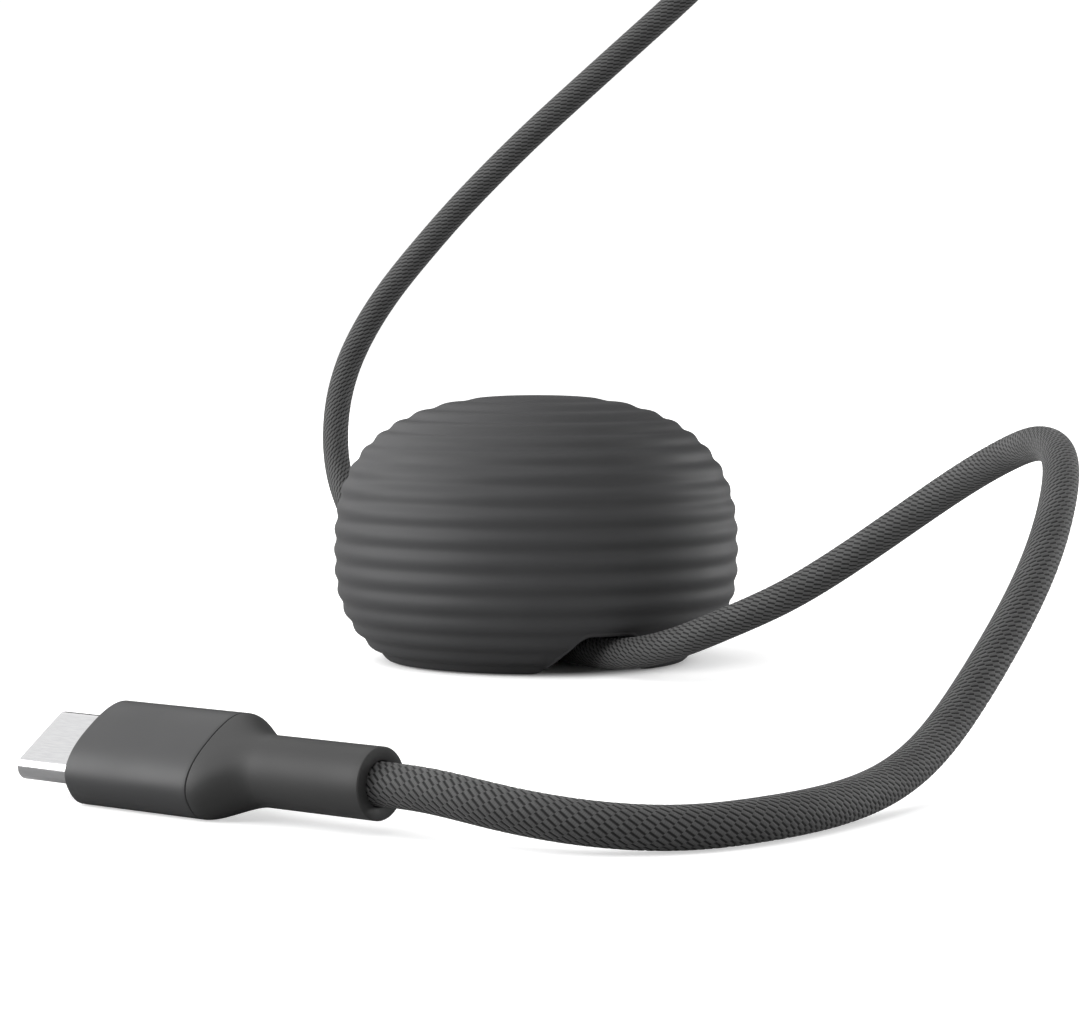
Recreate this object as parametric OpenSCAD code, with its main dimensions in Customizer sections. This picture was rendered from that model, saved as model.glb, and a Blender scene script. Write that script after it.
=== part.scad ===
// Short woven charging lead. It runs under a heavy ribbed anchor and has a metal-nosed plug at each end.
// Millimetres. The origin is the middle of the anchor's foot, on the surface that it stands on.
// +Z is up and -Y faces the viewer.

/* [Anchor] */
// Largest diameter, over the ribs
anchor_d = 52.2; // [50:0.2:57]
// Height of the anchor
anchor_h = 34.2; // [32.8:0.2:39]
// Height of the widest part above the surface
waist_z = 14.2; // [13:0.1:16]
// Width of the sleeve's band round the base tray at the surface
foot_band = 1.5; // [1.2:0.1:2]
// Fullness of the dome: 2 is an ellipse, more is squarer
dome_fullness = 2.6; // [2.3:0.1:3]
// Distance from one rib to the next along the surface
rib_pitch = 2.74; // [2.4:0.02:2.9]
// Height of a rib above the groove beside it
rib_depth = 0.45; // [0.2:0.05:0.7]
// Number of ribs between the foot bead and the smooth cap
rib_count = 16; // [13:1:17]
// Number of ribs near the cap that stand further apart
wide_ribs = 3; // [0:1:4]
// Extra distance of the first of those ribs
rib_widening = 0.35; // [0:0.05:0.5]
// Wall of the soft sleeve
sleeve_wall = 2.2; // [1.6:0.1:3]
// Thickness of the lip that hooks under the weight
lip_t = 2.4; // [1.6:0.1:3]
// Gap between the sleeve's edge and the surface
rim_gap = 0.15; // [0.1:0.05:0.3]

/* [Passage and base] */
// Height of the arched passage under the anchor
notch_h = 5.2; // [4.9:0.1:6]
// Width of the passage at the surface
notch_w = 17; // [15:0.5:18]
// Width of the level top of the arch
notch_top_w = 5; // [4:0.5:7]
// Thickness of the tray's web over the passage
web_t = 1; // [0.8:0.1:1.6]
// Diameter of the base tray
tray_d = 34; // [30:0.2:38.2]
// Thickness of the foot pads
pad_t = 0.8; // [0.6:0.1:1.2]
// Margin of the base tray left outside the foot pads
pad_margin = 1; // [0.6:0.1:1.6]
// Length of the liner that grips the cord
liner_len = 22; // [16:1:26]
// Width of the liner
liner_w = 12; // [8:0.5:13]
// Thread diameter of the base screws
screw_d = 2; // [1.6:0.2:2.6]
// Head diameter of the base screws
screw_head_d = 3.8; // [3.2:0.2:4.4]
// Length of the base screws under the head
screw_len = 8; // [6:0.5:10]

/* [Cord] */
// Diameter of the woven cord
cord_d = 3.8; // [3:0.1:3.9]

/* [Plug nose] */
// Width of the metal nose
nose_w = 8.25; // [8:0.05:8.5]
// Thickness of the metal nose
nose_t = 2.4; // [2.3:0.05:2.6]
// Length of the nose in front of the grip
nose_len = 6.65; // [6.2:0.05:7.4]
// Length of the nose inside the grip
nose_root = 3; // [2.6:0.1:4]
// Wall of the nose
nose_wall = 0.3; // [0.2:0.02:0.34]
// Number of contacts in a row
contact_count = 12; // [8:1:12]
// Distance between contacts
contact_pitch = 0.5; // [0.45:0.01:0.52]
// Width of a contact
contact_w = 0.25; // [0.16:0.01:0.3]
// Thickness of a contact
contact_t = 0.13; // [0.1:0.01:0.15]
// Width of the slot that takes the socket's tongue
slot_w = 6.7; // [6.6:0.02:6.72]
// Height of that slot
slot_t = 0.76; // [0.7:0.02:0.8]
// Depth of that slot
slot_depth = 5.8; // [5:0.1:6]

/* [Plug body] */
// Width of the grip
grip_w = 11.2; // [10.8:0.1:13]
// Thickness of the grip
grip_t = 6.6; // [6.2:0.1:6.6]
// Length of the grip
grip_len = 16; // [15:0.5:20]
// Wall of the grip
grip_wall = 0.8; // [0.6:0.05:0.85]
// Length of the bevel round the grip's front
bevel_len = 1.2; // [0.6:0.1:1.8]
// Flat left round the nose inside the bevel
bevel_lip = 0.4; // [0.25:0.05:0.8]
// Fullness of the grip's section: 2 is an ellipse
grip_fullness = 2.5; // [2.2:0.1:3]
// Length of the strain relief
relief_len = 18; // [16:0.5:20]
// Diameter of the strain relief's tube
relief_d = 6.4; // [6:0.1:6.6]
// Length over which the relief swells to the grip
swell_len = 5.8; // [5:0.1:8]
// Length of the crimp ferrule
ferrule_len = 5.5; // [4:0.5:6]
// Wall of the crimp ferrule
ferrule_wall = 0.4; // [0.3:0.05:0.5]

/* [Plug inside] */
// Width of the shield can
can_w = 7.6; // [7.2:0.1:7.8]
// Thickness of the shield can
can_t = 3; // [2.9:0.1:3.2]
// Sheet thickness of the shield can
can_wall = 0.2; // [0.12:0.02:0.22]
// Width of the circuit board
board_w = 6.6; // [5.6:0.1:6.6]
// Thickness of the circuit board
board_t = 0.8; // [0.6:0.1:0.8]
// Side of the square chip
chip_side = 3; // [2:0.1:4]
// Diameter of a wire's insulation
wire_d = 0.8; // [0.6:0.05:0.8]
// Number of wires from the cord to the board
wire_count = 4; // [3:1:5]

/* [Hidden] */

// Clearances between pieces that are fitted together
fit = 0.05;
soft_fit = 0.1;
// Room round the cord where it is gripped
cord_fit = 0.06;
round_fn = 64;
cut = 1;

// Anchor, derived: radii and heights of the mean surface, half way between rib and groove
mean_r = anchor_d / 2 - rib_depth / 2;
bow = 2 / dome_fullness;
upper_h = anchor_h - rib_depth / 2 - waist_z;
foot_share = (tray_d / 2 + foot_band) / mean_r;
lower_h = waist_z / pow(1 - pow(foot_share, dome_fullness), 1 / dome_fullness);
// Height of the lowest rib, whose crest stays clear of the sleeve's edge at any depth of rib
foot_bead = rim_gap + rib_depth / 2 + 0.1;
edge_round = 1;
tray_top = notch_h + web_t;
mouth_r = tray_d / 2 + soft_fit;
lip_top = rim_gap + lip_t;
cord_z = 2.7;
liner_z = 0.9;
// The passage runs along (5, -12), as the cord's points do
passage_turn = atan2(5, 12);
// The screws sit midway between the passage's side and the tray's rim
screw_share = 0.435;
screw_along = screw_share * tray_d / 2;
screw_out = (notch_w / 2 + sqrt(pow(tray_d / 2, 2) - pow(screw_along, 2))) / 2;
head_t = 1.1;

// Plug, derived: distances along the plug's axis from the cord's way in
grip_x = relief_len;
face_x = grip_x + grip_len;
nose_x = face_x - nose_root;
tip_x = face_x + nose_len;
hollow_end = face_x - 2;
cord_end = relief_len - 0.5;
ferrule_x = cord_end - ferrule_len + 0.2;
can_x = grip_x + 1.5;
board_x = can_x + 1;
board_end = nose_x + 2;
inner_w = nose_w - 2 * nose_wall;
inner_t = nose_t - 2 * nose_wall;
carrier_end = tip_x - 0.5;
slot_x = carrier_end - slot_depth;
contact_z = slot_t / 2;
contact_end = carrier_end - 0.3;
latch_x = board_end + 0.3;
spring_t = 0.2;
spring_h = 0.5;
spring_y = slot_w / 2 + 0.08;
pad_spring_len = 2.4;
pad_spring_w = 5.4;
pad_spring_t = 0.1;

// Where each plug lies: the point where the cord enters, the turn, the rise and the roll
device_at = [-13, -138, 4.5];
device_lie = [atan2(3, -4), 0, -35];
charger_at = [27, 68, 97];
charger_lie = [0, 45, -30];

// The cord's centre line, chosen by hand, from the device plug to the charger plug
route = [
    [-27, -127.5, 4.5], [-21, -132, 4.5], [-13, -138, 4.5], [-9, -141, 4.4], [-3.2, -144.6, 3.6],
    [4, -146.6, 2.6], [11.8, -145.6, 2], [19.2, -141, 1.95], [25.8, -133.4, 1.95], [31.6, -124.6, 2.6],
    [36.8, -115.5, 4.8], [41, -108.1, 8.3], [45.1, -101, 12.7], [48.8, -94.1, 17.2],
    [51.8, -87.3, 21.6], [54, -80.5, 25.6], [55.4, -73.4, 28.6], [55.8, -66.4, 30.1], [55, -58.9, 30.3],
    [53.1, -52.1, 28.9], [49.9, -46, 26.3], [45.7, -41, 22.8], [40.6, -37.3, 18.7], [34.9, -34.9, 14.5],
    [29, -33.1, 10.8], [23, -30.9, 7.8], [17.5, -27.7, 5.2], [12.5, -23.2, 3.4], [8.6, -18.5, 2.8],
    [5, -12, 2.7], [0, 0, 2.7], [-5, 12, 2.7], [-9.8, 23, 3.1], [-14.4, 32.6, 4.5], [-18.7, 41, 6.6],
    [-22.4, 48, 9.3], [-25.5, 53.8, 12.8], [-28, 58.6, 17], [-29.6, 62.4, 21.5], [-30.2, 65.3, 26.5],
    [-29.8, 67.5, 32], [-28.3, 69, 37.5], [-25.6, 69.8, 43.1], [-21.9, 70.2, 48.7], [-17.3, 70.2, 54.4],
    [-12.2, 70, 60.2], [-6.5, 69.5, 66.1], [-0.3, 69, 72.1], [6.2, 68.5, 78], [12.9, 68.2, 84],
    [19.7, 68, 90.1], [27, 68, 97], [34, 68, 104], [39.35, 68, 109.35]
];
cord_sides = 8;

// Dome curve: an upper and a lower superellipse quarter that meet at the waist, moved in by an inset
function dome_point(a, inset = 0) = [
    (mean_r - inset) * pow(cos(a), bow),
    a < 0 ? waist_z - (lower_h - inset) * pow(-sin(a), bow) : waist_z + (upper_h - inset) * pow(sin(a), bow)
];

// Angle at which the curve passes a height below the waist
function dome_angle(z, inset = 0) = -asin(pow((waist_z - z) / (lower_h - inset), 1 / bow));

// Length walked along the mean curve from the lowest rib, against the angle
walk_steps = 140;
walk_start = dome_angle(foot_bead);
function walk_angle(i) = walk_start + (90 - walk_start) * i / walk_steps;
function walk_step(i) = i < walk_steps ? norm(dome_point(walk_angle(i + 1)) - dome_point(walk_angle(i))) : 0;
walked = [for (i = 0, s = 0; i <= walk_steps; s = s + walk_step(i), i = i + 1) [s, walk_angle(i)]];
full_walk = walked[walk_steps][0];
function walk_point(s) = dome_point(lookup(s, walked));

// Outward direction at a walked length
function walk_normal(s) =
    let (d = walk_point(min(s + 0.2, full_walk)) - walk_point(max(s - 0.2, 0)))
    [d[1], -d[0]] / norm(d);

// Walked length of rib k's crest. The last few stand further and further apart.
function crest(k) =
    let (m = max(0, k - (rib_count - wide_ribs)))
    rib_pitch * k + rib_widening * m * m;

// A point on the ribbed surface, a part f of the way from rib k to the next
function rib_point(k, f) =
    let (s = crest(k) + f * (crest(k + 1) - crest(k)))
    walk_point(s) + walk_normal(s) * rib_depth / 2 * cos(360 * f);

rib_steps = 6;
cap_steps = 6;
cap_start = crest(rib_count);
ribs = [for (k = [0:rib_count - 1], i = [0:rib_steps - 1]) rib_point(k, i / rib_steps)];
cap = [for (i = [0:cap_steps - 1])
    let (s = cap_start + (full_walk - cap_start) * i / cap_steps)
    walk_point(s) + walk_normal(s) * rib_depth / 2];
bead = rib_point(0, 0);
edge = [for (a = [-90:22.5:-22.5])
    [bead[0] - edge_round + edge_round * cos(a), rim_gap + (bead[1] - rim_gap) * (1 + sin(a))]];

// Curve of the hollow that the weight fills, from a height up to the axis
hollow_steps = 26;
function hollow(z, inset) =
    let (start = dome_angle(z, inset))
    [for (i = [0:hollow_steps]) dome_point(start + (90 - start) * i / hollow_steps, inset)];
function on_axis(p) = [max(p[0], 0), p[1]];

// Arch over the passage: level in the middle, with a wave-shaped flank on each side
flank_steps = 8;
function arch_z(u) =
    let (past = max(0, abs(u) - notch_top_w / 2))
    notch_h * (0.5 + 0.5 * cos(180 * past / (notch_w / 2 - notch_top_w / 2)));
function flank_u(i) = notch_top_w / 2 + (notch_w - notch_top_w) / 2 * i / flank_steps;
arch_right = [for (i = [0:flank_steps]) flank_u(i)];
arch_line = concat(
    [for (i = [flank_steps:-1:0]) [-arch_right[i], arch_z(arch_right[i])]],
    [for (i = [0:flank_steps]) [arch_right[i], arch_z(arch_right[i])]]
);

// Places its children along the passage, with the first axis across it
module along_passage(len) {
    rotate([0, 0, passage_turn])
    rotate([90, 0, 0])
    linear_extrude(height = len, center = true)
    children();
}

module passage_cut() {
    along_passage(2 * anchor_d)
    polygon(concat(arch_line, [[notch_w / 2, -cut], [-notch_w / 2, -cut]]));
}

module ribbed_sleeve() {
    outside = concat(edge, ribs, [for (p = cap) on_axis(p)], [[0, anchor_h]]);
    inside = [for (p = hollow(lip_top, sleeve_wall)) on_axis(p)];
    color("dimgray")
    difference() {
        rotate_extrude($fn = round_fn)
        polygon(concat(
            [[mouth_r, rim_gap]],
            outside,
            [for (i = [hollow_steps:-1:0]) inside[i]],
            [[mouth_r, lip_top]]
        ));
        passage_cut();
    }
}

module each_screw() {
    for (side = [-1, 1], along = [-1, 1])
    rotate([0, 0, passage_turn])
    translate([side * screw_out, along * screw_along, 0])
    children();
}

module weight_core() {
    inset = sleeve_wall + soft_fit;
    bottom = lip_top + soft_fit;
    color("slategray")
    difference() {
        rotate_extrude($fn = round_fn)
        polygon(concat(
            [[0, tray_top + fit], [mouth_r, tray_top + fit], [mouth_r, bottom]],
            [for (p = hollow(bottom, inset)) on_axis(p)]
        ));
        passage_cut();
        each_screw()
        cylinder(d = screw_d + 2 * fit, h = pad_t + head_t + screw_len + cut, $fn = 24);
    }
}

module base_tray() {
    color("black")
    difference() {
        translate([0, 0, pad_t])
        cylinder(d = tray_d, h = tray_top - pad_t, $fn = round_fn);
        passage_cut();
        each_screw() {
            cylinder(d = screw_d + 2 * fit, h = tray_top + cut, $fn = 24);
            cylinder(d = screw_head_d + 2 * fit, h = pad_t + head_t, $fn = 24);
        }
    }
}

module passage_liner() {
    top = [for (p = arch_line) if (abs(p[0]) < liner_w / 2) [p[0], p[1] - fit]];
    side_z = arch_z(liner_w / 2) - fit;
    color("darkslategray")
    difference() {
        along_passage(liner_len)
        polygon(concat(
            [[-liner_w / 2, side_z]],
            top,
            [[liner_w / 2, side_z], [liner_w / 2, liner_z], [-liner_w / 2, liner_z]]
        ));
        translate([0, 0, cord_z])
        rotate([0, 0, passage_turn])
        rotate([90, 0, 0])
        cylinder(d = cord_d + 2 * cord_fit, h = liner_len + cut, center = true, $fn = 48);
        along_passage(liner_len + cut)
        translate([-cord_d * 0.35, 0])
        square([cord_d * 0.7, cord_z]);
    }
}

module foot_pads() {
    strip_w = notch_w + 1;
    color("dimgray")
    difference() {
        cylinder(d = tray_d - 2 * pad_margin, h = pad_t, $fn = round_fn);
        rotate([0, 0, passage_turn])
        translate([-strip_w / 2, -tray_d, -cut])
        cube([strip_w, 2 * tray_d, pad_t + 2 * cut]);
    }
}

module base_screws() {
    color("silver")
    each_screw()
    translate([0, 0, pad_t])
    difference() {
        union() {
            cylinder(d = screw_head_d, h = head_t, $fn = 24);
            cylinder(d = screw_d, h = head_t + screw_len, $fn = 24);
        }
        translate([0, 0, -cut])
        cylinder(d = screw_head_d * 0.45, h = cut + head_t * 0.6, $fn = 6);
    }
}

// Cord: a ring of points round each route point, carried along without twisting
function unit(v) = v / norm(v);
last_point = len(route) - 1;
function heading(i) = unit(route[min(i + 1, last_point)] - route[max(i - 1, 0)]);
sideways = [for (
    i = 0, n = unit(cross(heading(0), [0, 0, 1]));
    i <= last_point;
    i = i + 1, n = unit(n - (n * heading(min(i, last_point))) * heading(min(i, last_point)))
) n];
cord_points = [for (i = [0:last_point], k = [0:cord_sides - 1])
    let (n = sideways[i], b = cross(heading(i), n), a = 360 * k / cord_sides)
    route[i] + cord_d / 2 * (n * cos(a) + b * sin(a))];

// Faces of a skin over rings of points, from ring 0 to the last ring
function skin(last, sides) = concat(
    [[for (k = [0:sides - 1]) k]],
    [for (i = [0:last - 1], k = [0:sides - 1])
        let (a = i * sides + k, b = i * sides + (k + 1) % sides)
        [a, a + sides, b + sides, b]],
    [[for (k = [sides - 1:-1:0]) last * sides + k]]
);

module cord() {
    color("dimgray")
    polyhedron(points = cord_points, faces = skin(last_point, cord_sides), convexity = 10);
}

// Superellipse ring across the plug's axis: half width, half thickness and fullness
ring_sides = 48;
function ring(x, half_w, half_t, full) = [for (k = [0:ring_sides - 1])
    let (a = 360 * k / ring_sides, c = cos(a), s = sin(a))
    [x, half_w * sign(c) * pow(abs(c), 2 / full), half_t * sign(s) * pow(abs(s), 2 / full)]];

// Solid through a row of rings
module loft(rings) {
    polyhedron(points = [for (r = rings, p = r) p], faces = skin(len(rings) - 1, ring_sides));
}

// Bar with round sides, from x0 to x1 along the plug's axis
module stadium_bar(x0, x1, w, t) {
    translate([x0, 0, 0])
    rotate([90, 0, 90])
    linear_extrude(height = x1 - x0)
    union() {
        square([w - t, t], center = true);
        for (side = [-1, 1])
        translate([side * (w - t) / 2, 0])
        circle(d = t, $fn = 32);
    }
}

// Square-edged bar, from x0 to x1 along the plug's axis
module bar(x0, x1, w, z0, z1, y = 0) {
    translate([x0, y - w / 2, z0])
    cube([x1 - x0, w, z1 - z0]);
}

module rod(x0, x1, d, fn = 48) {
    translate([x0, 0, 0])
    rotate([0, 90, 0])
    cylinder(d = d, h = x1 - x0, $fn = fn);
}

module nose() {
    color("gainsboro")
    difference() {
        stadium_bar(nose_x, tip_x, nose_w, nose_t);
        stadium_bar(nose_x - cut, tip_x + cut, inner_w, inner_t);
    }
}

module contact_row(x0, x1, w, z0, z1) {
    for (i = [0:contact_count - 1])
    bar(x0, x1, w, z0, z1, (i - (contact_count - 1) / 2) * contact_pitch);
}

module latch_shape(gap) {
    bar(latch_x - gap, latch_x + 0.7 + gap, 2 * spring_y + gap, -spring_t / 2 - gap, spring_t / 2 + gap);
    for (side = [-1, 1])
    bar(latch_x - gap, carrier_end - 0.6 + gap, spring_t + 2 * gap, -spring_h / 2 - gap, spring_h / 2 + gap,
        side * (spring_y + spring_t / 2));
}

module contact_carrier() {
    color("black")
    difference() {
        stadium_bar(nose_x + 0.4, carrier_end, inner_w - 2 * fit, inner_t - 2 * fit);
        bar(slot_x, carrier_end + cut, slot_w, -slot_t / 2, slot_t / 2);
        bar(nose_x, board_end + fit, board_w + 2 * fit, -board_t / 2 - fit, board_t / 2 + fit);
        for (side = [0, 1])
        mirror([0, 0, side]) {
            contact_row(board_end - 1, contact_end + fit, contact_w + fit, 0, contact_z + contact_t + fit);
            bar(carrier_end - 0.4 - pad_spring_len - fit, carrier_end - 0.4 + fit, pad_spring_w + 2 * fit,
                inner_t / 2 - fit - pad_spring_t - fit, inner_t);
        }
        latch_shape(fit);
    }
}

module contacts(up) {
    color("gold")
    mirror([0, 0, up ? 0 : 1]) {
        contact_row(board_end - 1, contact_end, contact_w, contact_z + fit, contact_z + contact_t);
    }
}

module latch_spring() {
    color("silver")
    latch_shape(0);
}

module ground_springs() {
    color("silver")
    for (side = [0, 1])
    mirror([0, 0, side])
    bar(carrier_end - 0.4 - pad_spring_len, carrier_end - 0.4, pad_spring_w,
        inner_t / 2 - fit - pad_spring_t, inner_t / 2 - fit);
}

module board() {
    color("darkgreen")
    bar(board_x, board_end, board_w, -board_t / 2, board_t / 2);
}

module board_parts() {
    chip_x = board_x + 3;
    color("black") {
        bar(chip_x, chip_x + chip_side, chip_side, board_t / 2, board_t / 2 + 0.6);
        for (side = [-1, 1], i = [0, 1])
        bar(chip_x + chip_side + 0.6 + 1.2 * i, chip_x + chip_side + 1.2 + 1.2 * i, 1, board_t / 2,
            board_t / 2 + 0.4, side * 1.4);
    }
}

module shield_can() {
    color("silver")
    difference() {
        bar(can_x, nose_x - fit, can_w, -can_t / 2, can_t / 2);
        bar(can_x + can_wall, nose_x + cut, can_w - 2 * can_wall,
            -can_t / 2 + can_wall, can_t / 2 - can_wall);
        bar(can_x - cut, can_x + cut, wire_row_w + 0.6, -can_t / 4, can_t / 2 - can_wall);
    }
}

wire_row_w = wire_count * wire_d;

module core_wires() {
    color("white")
    for (i = [0:wire_count - 1])
    translate([0, (i - (wire_count - 1) / 2) * (wire_d + 0.02), board_t / 2 + wire_d / 2])
    rod(cord_end, board_x + 2, wire_d, 24);
}

function hollow_ring(x, gap) =
    let (in = grip_wall + gap)
    ring(x, grip_w / 2 - in, grip_t / 2 - in, grip_fullness);

module inner_mould() {
    color("whitesmoke")
    difference() {
        loft([hollow_ring(grip_x + fit, fit), hollow_ring(hollow_end - fit, fit)]);
        bar(can_x - fit, nose_x, can_w + 2 * fit, -can_t / 2 - fit, can_t / 2 + fit);
        stadium_bar(nose_x - fit, hollow_end + cut, nose_w + 2 * fit, nose_t + 2 * fit);
        bar(grip_x - cut, can_x + cut, wire_row_w + 0.6, -wire_d, board_t / 2 + wire_d + 0.3);
    }
}

module crimp_ferrule() {
    color("silver")
    difference() {
        rod(ferrule_x, ferrule_x + ferrule_len, cord_d + 2 * cord_fit + 2 * ferrule_wall);
        rod(ferrule_x - cut, ferrule_x + ferrule_len + cut, cord_d + 2 * cord_fit);
    }
}

module grip() {
    color("dimgray")
    difference() {
        loft([
            ring(grip_x, grip_w / 2, grip_t / 2, grip_fullness),
            ring(face_x - bevel_len, grip_w / 2, grip_t / 2, grip_fullness),
            ring(face_x, nose_w / 2 + bevel_lip, nose_t / 2 + bevel_lip, grip_fullness + 0.8)
        ]);
        loft([hollow_ring(grip_x - cut, 0), hollow_ring(hollow_end, 0)]);
        stadium_bar(hollow_end - cut, face_x + cut, nose_w + 2 * fit, nose_t + 2 * fit);
    }
}

// The relief swells from a round tube to the grip's section along a smooth wave
swell_steps = 7;
function swell(f) = 0.5 - 0.5 * cos(180 * f);
function relief_ring(f) = ring(
    relief_len - swell_len + swell_len * f,
    relief_d / 2 + (grip_w - relief_d) / 2 * swell(f),
    relief_d / 2 + (grip_t - relief_d) / 2 * swell(f),
    2 + (grip_fullness - 2) * swell(f)
);

module strain_relief() {
    color("dimgray")
    difference() {
        loft(concat(
            [ring(0, relief_d / 2, relief_d / 2, 2)],
            [for (i = [0:swell_steps]) relief_ring(i / swell_steps)]
        ));
        rod(-cut, relief_len, cord_d + 2 * cord_fit);
        rod(ferrule_x - fit, relief_len + cut, cord_d + 2 * (cord_fit + ferrule_wall + fit));
    }
}

// Lays a plug piece where its plug lies
module lay(at, lie) {
    translate(at)
    rotate([0, -lie[1], lie[0]])
    rotate([lie[2], 0, 0])
    children();
}

module on_device() {
    lay(device_at, device_lie)
    children();
}

module on_charger() {
    lay(charger_at, charger_lie)
    children();
}

ribbed_sleeve();
weight_core();
base_tray();
passage_liner();
foot_pads();
base_screws();
cord();
on_device() nose();  // device_nose
on_device() contact_carrier();  // device_contact_carrier
on_device() contacts(true);  // device_upper_contacts
on_device() contacts(false);  // device_lower_contacts
on_device() latch_spring();  // device_latch_spring
on_device() ground_springs();  // device_ground_springs
on_device() board();  // device_board
on_device() board_parts();  // device_board_parts
on_device() shield_can();  // device_shield_can
on_device() inner_mould();  // device_inner_mould
on_device() crimp_ferrule();  // device_crimp_ferrule
on_device() core_wires();  // device_core_wires
on_device() grip();  // device_grip
on_device() strain_relief();  // device_strain_relief
on_charger() nose();  // charger_nose
on_charger() contact_carrier();  // charger_contact_carrier
on_charger() contacts(true);  // charger_upper_contacts
on_charger() contacts(false);  // charger_lower_contacts
on_charger() latch_spring();  // charger_latch_spring
on_charger() ground_springs();  // charger_ground_springs
on_charger() board();  // charger_board
on_charger() board_parts();  // charger_board_parts
on_charger() shield_can();  // charger_shield_can
on_charger() inner_mould();  // charger_inner_mould
on_charger() crimp_ferrule();  // charger_crimp_ferrule
on_charger() core_wires();  // charger_core_wires
on_charger() grip();  // charger_grip
on_charger() strain_relief();  // charger_strain_relief
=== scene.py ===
import math

import bpy
import numpy as np
from mathutils import Matrix, Vector


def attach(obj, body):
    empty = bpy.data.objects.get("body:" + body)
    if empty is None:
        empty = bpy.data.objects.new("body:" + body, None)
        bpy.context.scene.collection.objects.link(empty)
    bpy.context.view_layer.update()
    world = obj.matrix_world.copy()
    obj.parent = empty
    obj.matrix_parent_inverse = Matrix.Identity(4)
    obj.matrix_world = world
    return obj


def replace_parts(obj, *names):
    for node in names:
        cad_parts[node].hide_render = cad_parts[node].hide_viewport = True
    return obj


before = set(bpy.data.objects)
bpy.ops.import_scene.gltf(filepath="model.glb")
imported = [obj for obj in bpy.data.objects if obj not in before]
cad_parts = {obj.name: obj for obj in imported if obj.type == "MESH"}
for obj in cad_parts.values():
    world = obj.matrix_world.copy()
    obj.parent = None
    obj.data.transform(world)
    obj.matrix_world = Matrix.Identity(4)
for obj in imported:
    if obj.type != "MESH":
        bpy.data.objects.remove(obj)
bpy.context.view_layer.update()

mm = 0.001  # shapes below are worked out in millimetres, and meshes are in metres
scene = bpy.context.scene

# Small helpers for points


def unit(v):
    return v / np.linalg.norm(v, axis=-1, keepdims=True)


def lerp(a, b, f):
    return a + (b - a) * f


def smooth(low, high, x):  # 0 below low, 1 above high and an easy wave between
    f = np.clip((x - low) / (high - low), 0, 1)
    return f * f * (3 - 2 * f)


def turned(azimuth, rise, roll):  # the turn of a plug: about Z, then up, then about its own axis
    degrees = [math.radians(a) for a in (azimuth, -rise, roll)]
    return np.array(
        Matrix.Rotation(degrees[0], 3, "Z")
        @ Matrix.Rotation(degrees[1], 3, "Y")
        @ Matrix.Rotation(degrees[2], 3, "X")
    )


# A skin over a grid of points: rows run along the piece and columns round it.
# The columns always join up. The rows join up too, or end in a cap round each end row's middle.
def gridPiece(name, points, material, along=None, joinRows=False):
    rows, cols = points.shape[:2]
    lastRow = rows if joinRows else rows - 1
    row = np.arange(lastRow)[:, None]
    col = np.arange(cols)[None, :]
    nextRow = (row + 1) % rows
    nextCol = (col + 1) % cols
    quads = np.stack(
        [row * cols + col, row * cols + nextCol, nextRow * cols + nextCol, nextRow * cols + col], -1
    ).reshape(-1, 4)
    vertices = points.reshape(-1, 3)
    if along is None:
        along = np.broadcast_to(np.arange(rows)[:, None] / rows, (rows, cols))
    far = np.concatenate([along, along[-1:]]) if joinRows else along
    across = np.broadcast_to(col / cols, (lastRow, cols))
    low = far[:lastRow]
    high = far[1 : lastRow + 1]
    lowNext = np.roll(low, -1, axis=1)
    highNext = np.roll(high, -1, axis=1)
    step = 1 / cols
    uv = np.stack(
        [
            np.stack([across, low], -1),
            np.stack([across + step, lowNext], -1),
            np.stack([across + step, highNext], -1),
            np.stack([across, high], -1),
        ],
        2,
    ).reshape(-1, 2)
    faces = quads.tolist()
    if not joinRows:
        poles = np.stack([points[0].mean(0), points[-1].mean(0)])
        vertices = np.concatenate([vertices, poles])
        first = rows * cols
        near = np.stack([np.full(cols, first), nextCol[0], col[0]], -1)
        end = (rows - 1) * cols
        ending = np.stack([np.full(cols, first + 1), end + col[0], end + nextCol[0]], -1)
        faces += near.tolist() + ending.tolist()
        middle = across[0] + step / 2
        for edge, order in ((along[0], (1, 0)), (along[-1], (0, 1))):
            sides = [across[0], across[0] + step]
            levels = [edge, np.roll(edge, -1)]
            pole = np.stack([middle, edge], -1)
            corners = [np.stack([sides[k], levels[k]], -1) for k in order]
            uv = np.concatenate([uv, np.stack([pole] + corners, 1).reshape(-1, 2)])
    mesh = bpy.data.meshes.new(name)
    mesh.from_pydata((vertices * mm).tolist(), [], faces)
    layer = mesh.uv_layers.new(name="run")
    layer.uv.foreach_set("vector", uv.astype(np.float32).ravel())
    mesh.update()
    mesh.shade_smooth()
    mesh.materials.append(material)
    piece = bpy.data.objects.new(name, mesh)
    scene.collection.objects.link(piece)
    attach(piece, "root")
    return piece


# Small helpers for materials


def addNode(tree, kind, inputs=(), **settings):
    node = tree.nodes.new(kind)
    for key, value in settings.items():
        setattr(node, key, value)
    for key, value in dict(inputs).items():
        if isinstance(value, bpy.types.NodeSocket):
            tree.links.new(value, node.inputs[key])
        else:
            node.inputs[key].default_value = value
    return node


def maths(tree, operation, *values):
    return addNode(tree, "ShaderNodeMath", enumerate(values), operation=operation).outputs[0]


def band(tree, value, low, high, start=0.0, end=1.0):  # start below low, end above high
    inputs = {"Value": value, "From Min": low, "From Max": high, "To Min": start, "To Max": end}
    return addNode(tree, "ShaderNodeMapRange", inputs, interpolation_type="SMOOTHSTEP").outputs[0]


def colour(grey, tint=(1, 1, 1)):
    return (grey * tint[0], grey * tint[1], grey * tint[2], 1)


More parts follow.
